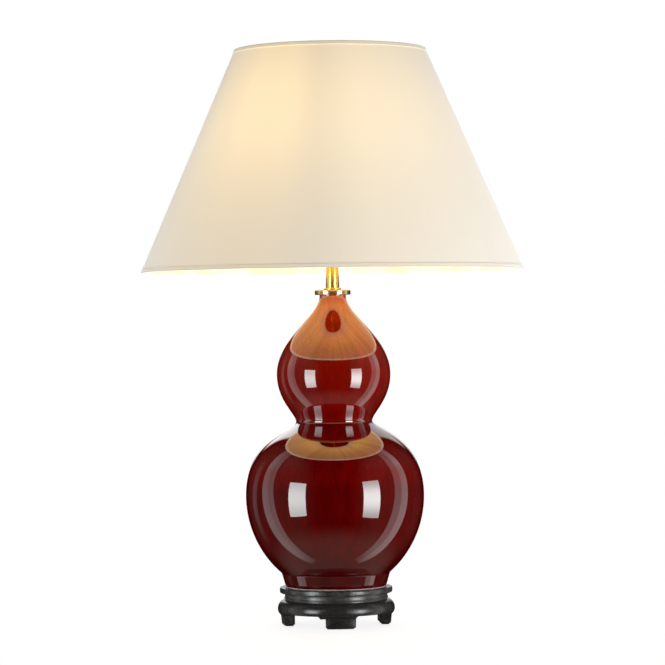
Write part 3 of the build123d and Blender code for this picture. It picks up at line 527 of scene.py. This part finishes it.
def geometry_tree(name, inputs):
    """An empty Geometry Nodes tree with its group nodes and named inputs."""
    tree = bpy.data.node_groups.new(name, "GeometryNodeTree")
    tree.interface.new_socket("Geometry", in_out="INPUT", socket_type="NodeSocketGeometry")
    for label, kind in inputs:
        tree.interface.new_socket(label, in_out="INPUT", socket_type=kind)
    tree.interface.new_socket("Geometry", in_out="OUTPUT", socket_type="NodeSocketGeometry")
    return tree, add(tree, "NodeGroupInput"), add(tree, "NodeGroupOutput")


def close_tree(tree, geometry, material, outgoing):
    """End a tree in smooth shading, Realize Instances and Set Material."""
    smooth = add(tree, "GeometryNodeSetShadeSmooth", {"Geometry": geometry})
    real = add(tree, "GeometryNodeRealizeInstances", {"Geometry": smooth.outputs[0]})
    last = add(tree, "GeometryNodeSetMaterial", {"Geometry": real.outputs[0], "Material": material})
    tree.links.new(last.outputs[0], outgoing.inputs[0])


def turned_tree():
    """Spins the outline on the modified mesh about Z: grid rows follow it, columns go round."""
    tree, given, outgoing = geometry_tree("Turned piece", (("Segments", "NodeSocketInt"),
                                                           ("Material", "NodeSocketMaterial")))
    outline, segments = given.outputs["Geometry"], given.outputs["Segments"]
    rows = add(tree, "GeometryNodeAttributeDomainSize", {"Geometry": outline}).outputs["Point Count"]

    def whole(operation, a, b):
        return add(tree, "FunctionNodeIntegerMath", {0: a, 1: b}, operation=operation).outputs[0]

    tall = whole("ADD", rows, 1)
    grid = add(tree, "GeometryNodeMeshGrid", {"Vertices X": whole("ADD", segments, 1), "Vertices Y": tall})
    index = add(tree, "GeometryNodeInputIndex").outputs[0]
    column = whole("DIVIDE_FLOOR", index, tall)
    row = whole("MODULO", whole("SUBTRACT", index, whole("MULTIPLY", column, tall)), rows)
    position = add(tree, "GeometryNodeInputPosition").outputs[0]
    sample = add(tree, "GeometryNodeSampleIndex", {"Geometry": outline, "Value": position, "Index": row},
                 data_type="FLOAT_VECTOR", domain="POINT")
    radius, _, z = split(tree, sample.outputs[0])
    angle = times(tree, calc(tree, "DIVIDE", column, segments), math.tau)
    place = joined(tree, times(tree, radius, calc(tree, "COSINE", angle)),
                   times(tree, radius, calc(tree, "SINE", angle)), z)
    moved = add(tree, "GeometryNodeSetPosition", {"Geometry": grid.outputs["Mesh"], "Position": place}).outputs[0]
    merged = add(tree, "GeometryNodeMergeByDistance", {"Geometry": moved, "Distance": WELD}).outputs[0]
    close_tree(tree, merged, given.outputs["Material"], outgoing)
    return tree


def shared_tree(maker):
    """A node tree made once and used by every piece that needs it."""
    known = bpy.context.scene.get(maker.__name__)
    if known is None:
        known = maker()
        bpy.context.scene[maker.__name__] = known
    return known


# ---- pieces ----
def loose(name, mesh):
    """An object for a mesh, linked to the scene."""
    piece = bpy.data.objects.new(name, mesh)
    bpy.context.scene.collection.objects.link(piece)
    return piece


def plain_mesh(piece):
    """The evaluated mesh of a piece as its own, with its modifiers gone."""
    bpy.context.view_layer.update()
    result = bpy.data.meshes.new_from_object(piece.evaluated_get(bpy.context.evaluated_depsgraph_get()))
    piece.modifiers.clear()
    piece.data = result
    result.name = piece.name
    material = [m for m in result.materials if m][-1]
    result.materials.clear()
    result.materials.append(material)
    result.polygons.foreach_set("material_index", [0] * len(result.polygons))
    return piece


def volume_of(mesh):
    """Signed volume that a closed mesh holds."""
    total = 0.0
    for face in mesh.polygons:
        corners = [mesh.vertices[v].co for v in face.vertices]
        for a, b in zip(corners[1:], corners[2:]):
            total += corners[0].dot(a.cross(b)) / 6
    return total


def crease(mesh, degrees):
    """Smooth shading with sharp edges past an angle."""
    mesh.shade_smooth()
    mesh.set_sharp_from_angle(angle=math.radians(degrees))


def settle(piece, node, sharp=SHARP):
    """Finish a piece: faces outwards, sharp edges, its node's body and the node it stands for."""
    if volume_of(piece.data) < 0:
        piece.data.flip_normals()
    crease(piece.data, sharp)
    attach(piece, NODES[node]["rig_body"])
    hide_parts(node)
    return piece


def turned(name, outline, slot, node, segments=96, look=None):
    """A turned piece from a closed outline of (radius, height) points; its look is its slot's, or one named."""
    mesh = bpy.data.meshes.new(name)
    points = len(outline)
    mesh.from_pydata([(r, 0, z) for r, z in outline], [(n, (n + 1) % points) for n in range(points)], [])
    piece = loose(name, mesh)
    tree = shared_tree(turned_tree)
    modifier = piece.modifiers.new("Turned piece", "NODES")
    modifier.node_group = tree
    for label, value in (("Segments", segments), ("Material", finish(look or slot))):
        set_input(modifier, tree, label, value)
    return settle(plain_mesh(piece), node)


def copied(node, name, slot, bevel=0.0, sharp=SHARP, flat=0.0):
    """A merged copy of a CAD node with soft edges; flat joins facets that bend by fewer degrees than it says."""
    mesh = NODES[node].data.copy()
    mesh.name = name
    work = bmesh.new()
    work.from_mesh(mesh)
    bmesh.ops.remove_doubles(work, verts=work.verts, dist=WELD)
    if flat:
        bmesh.ops.dissolve_limit(work, angle_limit=math.radians(flat), verts=work.verts, edges=work.edges)
    work.to_mesh(mesh)
    work.free()
    for attribute in [a for a in mesh.attributes if a.name == "custom_normal"]:
        mesh.attributes.remove(attribute)
    mesh.materials.clear()
    mesh.materials.append(finish(slot))
    piece = loose(name, mesh)
    if bevel:
        crease(mesh, sharp)
        edge = piece.modifiers.new("Soft edges", "BEVEL")
        edge.width, edge.segments, edge.limit_method, edge.angle_limit = bevel, 2, "ANGLE", math.radians(sharp)
        edge.use_clamp_overlap = True
        plain_mesh(piece)
    return settle(piece, node, sharp=sharp)


def dress(node, slot):
    """Give a CAD node its material."""
    mesh = NODES[node].data
    mesh.materials.clear()
    mesh.materials.append(finish(slot))


def lamp_operator(function):
    """execute for an operator that makes a group of pieces."""
    def execute(self, context):
        function(context.scene.lamp_settings)
        return {"FINISHED"}
    return execute


def make_vase(lamp):
    """Spin the double gourd's side and its inner wall."""
    size = lamp.vase

    def at(width, height):
        return (width / 2, STAND_TOP + height)

    belly, waist = at(size.belly_width, size.belly_height), at(size.waist_width, size.waist_height)
    upper, neck = at(size.upper_width, size.upper_height), at(size.neck_width, size.neck_height)
    ring = at(size.ring_width, size.ring_height)
    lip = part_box("vase")[1].z
    # an arc from the foot ring's corner to the widest part of the belly, then waist, upper gourd and neck
    drop, gap = belly[1] - ring[1], belly[0] - ring[0]
    radius = (drop * drop + gap * gap) / (2 * gap)
    turn = math.degrees(math.asin(drop / radius))
    side = arc((belly[0] - radius, belly[1]), radius, -turn, 0, 48)
    side += swell(belly, waist, 0.79, 0.10, 64)[1:]
    side += swell(waist, upper, 0.145, 0.55, 56)[1:]
    side += swell(upper, neck, 0.49, 0.245, 56, 0.0014)[1:]
    # a soft fillet where the belly meets the foot ring, and softened foot and lip edges
    fillet = 6                                  # points of the arc that it takes the place of
    tread = size.foot_width / 2 - 0.009         # inner edge of the foot ring
    edge_r, fillet_r = 0.0012, 0.0025
    foot = rounded([(tread, STAND_TOP), at(size.foot_width, 0), ring, side[fillet]], [0, edge_r, fillet_r, 0])[1:-1]
    bore, bore_depth, pipe_hole = 0.0107, 0.028, 0.006
    top = rounded([side[-1], (neck[0] - 0.0003, lip), (bore, lip)], [0, edge_r, 0])[1:-1]
    # inside, a wall's thickness in from every twelfth point of the side
    inner = [(bore, lip), (bore, lip - bore_depth)]
    for n in range(len(side) - 40, 8, -12):
        tangent = (Vector(side[n + 1]) - Vector(side[n - 1])).normalized()
        inner.append((side[n][0] - size.wall * tangent.y, side[n][1] + size.wall * tangent.x))
    underside = STAND_TOP + 0.003
    floor_z = underside + size.wall
    inner += [(tread, floor_z), (pipe_hole, floor_z), (pipe_hole, underside), (tread, underside), (tread, STAND_TOP)]
    turned("glazed_vase", foot + side[fillet:] + top + inner, "red_glaze", "vase", size.segments)


def make_stand(lamp):
    """Soften the edges of the sawn stand and lay its felt pads."""
    copied("stand", "wooden_stand", "black_wood", lamp.stand.edge, 30.0, 0.05)
    copied("foot_pads", "felt_pads", "felt", 0.0003)


def make_pipe(lamp):
    """Finish the pipe, its nut and washer, the bushes and the gasket."""
    for node, slot in (("lamp_pipe", "steel"), ("pipe_washer", "steel"), ("cord_bush", "black_plastic"),
                       ("neck_bush", "rubber"), ("cap_gasket", "rubber")):
        dress(node, slot)
    copied("pipe_nut", "hex_nut", "steel", 0.0003)


def make_brass(lamp):
    """Spin the cap, its seat ring and the neck tube."""
    bore = 0.0051                               # round the pipe
    low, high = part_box("vase_cap")
    cap_r, neck_r, skirt = lamp.brass.cap_width / 2, 0.0160, 0.0021
    turned("brass_cap", rounded([(bore, low.z + skirt), (neck_r, low.z + skirt), (neck_r, low.z), (cap_r, low.z),
                                 (cap_r, high.z), (bore, high.z)], [0, 0, 0.0004, 0.0011, 0.0011, 0], 8),
           "polished_brass", "vase_cap", 128, look="cap_brass")
    low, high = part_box("seat_ring")
    turned("brass_seat_ring", rounded([(bore, low.z), (high.x, low.z), (high.x, high.z), (bore, high.z)],
                                      [0, 0.0003, 0.0008, 0], 6), "polished_brass", "seat_ring")
    low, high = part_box("neck_tube")
    tube_r, taper, tube_wall = lamp.brass.tube_width / 2, 0.0008, 0.0007
    top_r = tube_r - taper
    inner_r = top_r - tube_wall
    turned("brass_neck_tube", rounded([(inner_r, low.z), (tube_r, low.z), (top_r, high.z), (inner_r, high.z)],
                                      0.0003, 3), "polished_brass", "neck_tube")


def make_harp(lamp):
    """Finish the saddle, the harp, its stud and the two ferrules."""
    copied("harp_saddle", "brass_saddle", "polished_brass", 0.0003)
    copied("harp", "brass_harp", "polished_brass")
    copied("harp_stud", "brass_stud", "polished_brass")
    for side in ("front", "rear"):
        copied(f"harp_ferrule_{side}", f"brass_ferrule_{side}", "polished_brass", 0.0002)


def make_socket(lamp):
    """Finish the socket's cap, shell, liner, body and contacts."""
    for node, name in (("socket_cap", "brass_socket_cap"), ("socket_shell", "brass_socket_shell")):
        copied(node, name, "polished_brass")
    for node, slot in (("set_screw", "steel"), ("shell_liner", "card"), ("socket_body", "phenolic"),
                       ("terminal_screws", "polished_brass"), ("screw_shell", "aluminium"),
                       ("centre_contact", "polished_brass")):
        dress(node, slot)


def make_switch(lamp):
    """Finish the knob and its stem."""
    dress("switch_stem", "steel")
    copied("switch_knob", "fluted_knob", "black_plastic", 0.0001, 25.0)


def make_bulb(lamp):
    """Finish the bulb's glass, cap, insulator and contact."""
    copied("bulb_glass", "opal_bulb", "frosted_glass", sharp=50.0)
    copied("bulb_cap", "screw_cap", "aluminium", sharp=25.0)
    dress("bulb_insulator", "black_glass")
    dress("bulb_contact", "solder")


def shade_radius(size, z):
    """The shade's outer radius at a height."""
    along = (z - SHADE_LOW) / (SHADE_TOP - SHADE_LOW)
    return (size.low_width + along * (size.top_width - size.low_width)) / 2


def make_shade(lamp):
    """Spin the shade's wall, line it and the hems, and finish the rings and the spider."""
    size = lamp.shade
    steps = 60
    sunk = 0.00065                              # from the hems' outer face in to the wall's
    trim = 0.0006                               # from the hems' edges to the wall's
    low, high = SHADE_LOW + trim, SHADE_TOP - trim

    def face_of_wall(start, end, depth):
        heights = [start + (end - start) * n / steps for n in range(steps + 1)]
        return [(shade_radius(size, z) - depth, z) for z in heights]

    outline = face_of_wall(low, high, sunk) + face_of_wall(high, low, sunk + size.wall)
    wall = turned("shade_wall", outline, "shade_fabric", "shade_skin", 256)
    hems = [copied(f"shade_{place}_hem", f"{place}_hem", "hem_fabric", sharp=40.0) for place in ("top", "bottom")]
    inward = -0.5                               # a face that points in by more than this is the lining's
    for piece in [wall] + hems:
        piece.data.materials.append(finish("shade_lining"))
        for face in piece.data.polygons:
            out = face.center.x * face.normal.x + face.center.y * face.normal.y
            face.material_index = 1 if out < inward * math.hypot(face.center.x, face.center.y) else 0
    copied("shade_top_ring", "top_ring", "steel", sharp=60.0)
    copied("shade_bottom_ring", "bottom_ring", "steel", sharp=60.0)
    copied("shade_spider", "brass_spider", "polished_brass", sharp=40.0)


def make_finial(lamp):
    """Finish the turned finial."""
    copied("finial", "brass_finial", "polished_brass", sharp=35.0)


def softbox(name, azimuth, distance, z, width, height, radiance, glossy=True, diffuse=True, edge=1.0, lean=0.0,
            tip=0.0, tint=(1, 1, 1)):
    """A rectangular light that faces the lamp's axis; azimuth is from the front, to the right.

    Edge is the share of its brightness that is left at its top and bottom, lean tips it sideways and tip turns
    it down.
    """
    light = bpy.data.lights.new(name, "AREA")
    light.shape, light.size, light.size_y = "RECTANGLE", width, height
    light.energy, light.color = radiance * math.pi * width * height, tint
    if edge < 1:
        light.use_nodes = True
        tree = light.node_tree
        place = split(tree, add(tree, "ShaderNodeNewGeometry").outputs["Parametric"])
        off = calc(tree, "ABSOLUTE", calc(tree, "SUBTRACT", place[1], 0.5))
        tree.links.new(fade(tree, off, 0.04, 0.5, 1.0, edge), tree.nodes["Emission"].inputs["Strength"])
    piece = loose(name, light)
    turn = math.radians(azimuth)
    piece.matrix_world = (Matrix.Translation((distance * math.sin(turn), -distance * math.cos(turn), z))
                          @ Matrix.Rotation(turn, 4, "Z") @ Matrix.Rotation(math.radians(lean), 4, "Y")
                          @ Matrix.Rotation(math.radians(90 - tip), 4, "X"))
    piece.visible_camera = False
    piece.visible_glossy, piece.visible_diffuse = glossy, diffuse
    return piece


def make_camera(scene):
    """A long lens at the height of the vase's upper half, rolled a little as in the photograph."""
    camera = bpy.data.cameras.new("camera")
    camera.lens, camera.sensor_width, camera.clip_end = 154.3, 36.0, 50.0
    view = loose("camera", camera)
    view.location = (-0.0006, -3.400, 0.357)
    view.rotation_euler = (math.radians(89.843), math.radians(0.68), 0)
    scene.camera = view


def make_lights():
    """Softboxes and tall panels that show in the glaze, and fills that show in no reflection."""
    cool = (0.93, 1.0, 0.985)
    softbox("left softbox", -48, 1.16, 0.130, 0.468, 0.75, 8.1, diffuse=False, edge=0.72, tint=cool)
    softbox("right softbox", 46.5, 1.16, 0.121, 0.455, 0.83, 10.2, diffuse=False, edge=0.43, tint=cool)
    # each side panel is two halves, tipped so their feet come forward
    for name, azimuth, width, radiance in (
            ("left panel, front half", -83.0, 0.246, 0.74), ("left panel, back half", -93.6, 0.246, 0.95),
            ("right panel, front half", 80.5, 0.273, 0.78), ("right panel, back half", 92.8, 0.285, 1.35)):
        softbox(name, azimuth, 1.30, -0.65, width, 5.1, radiance, diffuse=False, edge=0.27,
                lean=math.copysign(9, azimuth))
    softbox("left rear strip", -124, 1.5, 0.10, 0.30, 1.8, 0.20, diffuse=False, edge=0.0)
    for name, azimuth, distance, z, size, radiance, tip in (
            ("left side", -100, 1.3, -0.35, 1.2, 4.6, 0), ("left key", -38, 1.3, -0.35, 1.2, 3.0, 0),
            ("right key", 42, 1.3, -0.35, 1.2, 6.5, 0), ("right side", 105, 1.3, -0.3, 1.2, 4.5, 0),
            ("top fill", 0, 0.001, 2.2, 1.0, 1.0, 90), ("rear fill left", -140, 1.6, 0.45, 0.9, 1.3, 0),
            ("rear fill right", 140, 1.6, 0.45, 0.9, 1.9, 0)):
        softbox(name, azimuth, distance, z, size, size, radiance, glossy=False, tip=tip)


def make_world(scene):
    """White to the camera; to the lamp a dark room with a white backdrop hung behind it."""
    world = bpy.data.worlds.new("studio")
    world.use_nodes = True
    scene.world = world
    tree = world.node_tree
    x, y, z = split(tree, add(tree, "ShaderNodeTexCoord").outputs["Generated"])
    sideways = calc(tree, "ABSOLUTE", x)
    backdrop = times(tree, fade(tree, sideways, 0.41, 0.35), fade(tree, y, 0.0, 0.1), fade(tree, z, 0.74, 0.62))
    # reflections show it above the shoulders and, narrower, lower down, with a faint glow from sides and floor
    low = times(tree, fade(tree, sideways, 0.28, 0.18), fade(tree, z, 0.02, 0.06))
    mirrored = times(tree, backdrop, calc(tree, "MAXIMUM", fade(tree, z, 0.22, 0.34), low))
    floor = fade(tree, z, -0.48, -0.84, 0.0, 0.235)
    sides = times(tree, fade(tree, sideways, 0.35, 0.75), fade(tree, y, -0.1, 0.25, 0.09, 0.045))
    rays = add(tree, "ShaderNodeLightPath").outputs
    seen = calc(tree, "MAXIMUM", rays["Is Camera Ray"], rays["Is Transmission Ray"])
    gloss = plus(tree, times(tree, mirrored, fade(tree, x, -0.3, 0.3, 1.8, 0.75)), floor, sides)
    gloss = times(tree, rays["Is Glossy Ray"], gloss)
    around = times(tree, rays["Is Diffuse Ray"], calc(tree, "MAXIMUM", 0.08, times(tree, backdrop, 0.58)))
    level = calc(tree, "MAXIMUM", calc(tree, "MAXIMUM", seen, gloss), around)
    background = tree.nodes["Background"]
    warm = times(tree, rays["Is Glossy Ray"], calc(tree, "SUBTRACT", 1.0, mirrored))
    tree.links.new(blend_colours(tree, warm, (1, 1, 1), (1.0, 0.88, 0.74)), background.inputs["Color"])
    tree.links.new(level, background.inputs["Strength"])


def make_table():
    """A small pale table top, white to the camera but for the lamp's shadow."""
    radius, points = 0.30, 96
    angles = [math.tau * n / points for n in range(points)]
    mesh = bpy.data.meshes.new("table_top")
    mesh.from_pydata([(radius * math.cos(a), radius * math.sin(a), 0) for a in angles], [], [list(range(points))])
    table = loose("table_top", mesh)
    material, tree, shader, point = new_material("pale table top", roughness=0.8)
    tone = blend_colours(tree, grain(tree, point, 8, 3), (0.34, 0.34, 0.34), (0.38, 0.38, 0.38))
    tree.links.new(tone, shader.inputs["Base Color"])
    rays = add(tree, "ShaderNodeLightPath").outputs
    shader.inputs["Emission Color"].default_value = (1, 1, 1, 1)
    tree.links.new(times(tree, rays["Is Camera Ray"], 0.86), shader.inputs["Emission Strength"])
    material.cycles.emission_sampling = "NONE"
    # in the glaze the table ends just past the feet, and the panels and the room below show beyond it
    x, y = split(tree, point)[:2]
    beyond = times(tree, rays["Is Glossy Ray"], fade(tree, across(tree, x, y), 0.077, 0.081))
    beyond = calc(tree, "MAXIMUM", beyond, add(tree, "ShaderNodeNewGeometry").outputs["Backfacing"])
    clear = add(tree, "ShaderNodeBsdfTransparent").outputs[0]
    mixed = add(tree, "ShaderNodeMixShader", {0: beyond, 1: shader.outputs[0], 2: clear}).outputs[0]
    tree.links.new(mixed, tree.nodes["Material Output"].inputs["Surface"])
    mesh.materials.append(material)


def make_stage(lamp):
    """Camera, softboxes, white surroundings for the camera and a small pale table top."""
    scene = bpy.context.scene
    make_camera(scene)
    make_lights()
    make_world(scene)
    make_table()
    scene.view_settings.view_transform = "Standard"


class LAMP_OT_vase(Operator):
    """Make the glazed double gourd vase"""
    bl_idname, bl_label = "lamp.make_vase", "Vase"
    execute = lamp_operator(make_vase)


class LAMP_OT_stand(Operator):
    """Make the footed wooden stand and its felt pads"""
    bl_idname, bl_label = "lamp.make_stand", "Stand"
    execute = lamp_operator(make_stand)


class LAMP_OT_pipe(Operator):
    """Finish the pipe with its nut, washer, bushes and gasket"""
    bl_idname, bl_label = "lamp.make_pipe", "Pipe and hardware"
    execute = lamp_operator(make_pipe)


class LAMP_OT_brass(Operator):
    """Make the brass cap, seat ring and neck tube"""
    bl_idname, bl_label = "lamp.make_brass", "Neck brass"
    execute = lamp_operator(make_brass)


class LAMP_OT_harp(Operator):
    """Make the harp, its saddle, stud and ferrules"""
    bl_idname, bl_label = "lamp.make_harp", "Harp"
    execute = lamp_operator(make_harp)


class LAMP_OT_socket(Operator):
    """Make the socket"""
    bl_idname, bl_label = "lamp.make_socket", "Socket"
    execute = lamp_operator(make_socket)


class LAMP_OT_switch(Operator):
    """Make the turn switch's stem and knob"""
    bl_idname, bl_label = "lamp.make_switch", "Turn switch"
    execute = lamp_operator(make_switch)


class LAMP_OT_bulb(Operator):
    """Make the lit bulb"""
    bl_idname, bl_label = "lamp.make_bulb", "Bulb"
    execute = lamp_operator(make_bulb)


class LAMP_OT_shade(Operator):
    """Make the empire shade with its hems, rings and spider"""
    bl_idname, bl_label = "lamp.make_shade", "Shade"
    execute = lamp_operator(make_shade)


class LAMP_OT_finial(Operator):
    """Make the finial"""
    bl_idname, bl_label = "lamp.make_finial", "Finial"
    execute = lamp_operator(make_finial)


class LAMP_OT_stage(Operator):
    """Set up the camera, lights, background and table top"""
    bl_idname, bl_label = "lamp.make_stage", "Studio"
    execute = lamp_operator(make_stage)


OPERATORS = (LAMP_OT_vase, LAMP_OT_stand, LAMP_OT_pipe, LAMP_OT_brass, LAMP_OT_harp, LAMP_OT_socket,
             LAMP_OT_switch, LAMP_OT_bulb, LAMP_OT_shade, LAMP_OT_finial, LAMP_OT_stage)


class LAMP_PT_panel(Panel):
    """Lists the lamp's sizes, colours and the operators that make its pieces"""
    bl_idname, bl_label = "LAMP_PT_panel", "Gourd Lamp"
    bl_space_type, bl_region_type, bl_category = "VIEW_3D", "UI", "Gourd Lamp"

    def draw(self, context):
        for operator in OPERATORS:
            self.layout.operator(operator.bl_idname)
        for group in LampSettings.__annotations__:
            box = self.layout.box()
            box.label(text=group.title())
            settings = getattr(context.scene.lamp_settings, group)
            for name in settings.__annotations__:
                box.prop(settings, name)


CLASSES = (VaseSettings, StandSettings, BrassSettings, ShadeSettings, SwitchSettings, LampSettings, *OPERATORS,
           LAMP_PT_panel)


def register():
    for item in CLASSES:
        bpy.utils.register_class(item)
    bpy.types.Scene.lamp_settings = PointerProperty(type=LampSettings)


def unregister():
    del bpy.types.Scene.lamp_settings
    for item in reversed(CLASSES):
        bpy.utils.unregister_class(item)


def main():
    """Make every piece and the studio."""
    ours = set(NODES.values()) | set(frame["bodies"].values())
    for start_object in [o for o in bpy.data.objects if o not in ours]:
        bpy.data.objects.remove(start_object)
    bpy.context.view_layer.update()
    register()
    for operator in OPERATORS:
        group, name = operator.bl_idname.split(".")
        getattr(getattr(bpy.ops, group), name)()


if __name__ == "__main__":
    main()
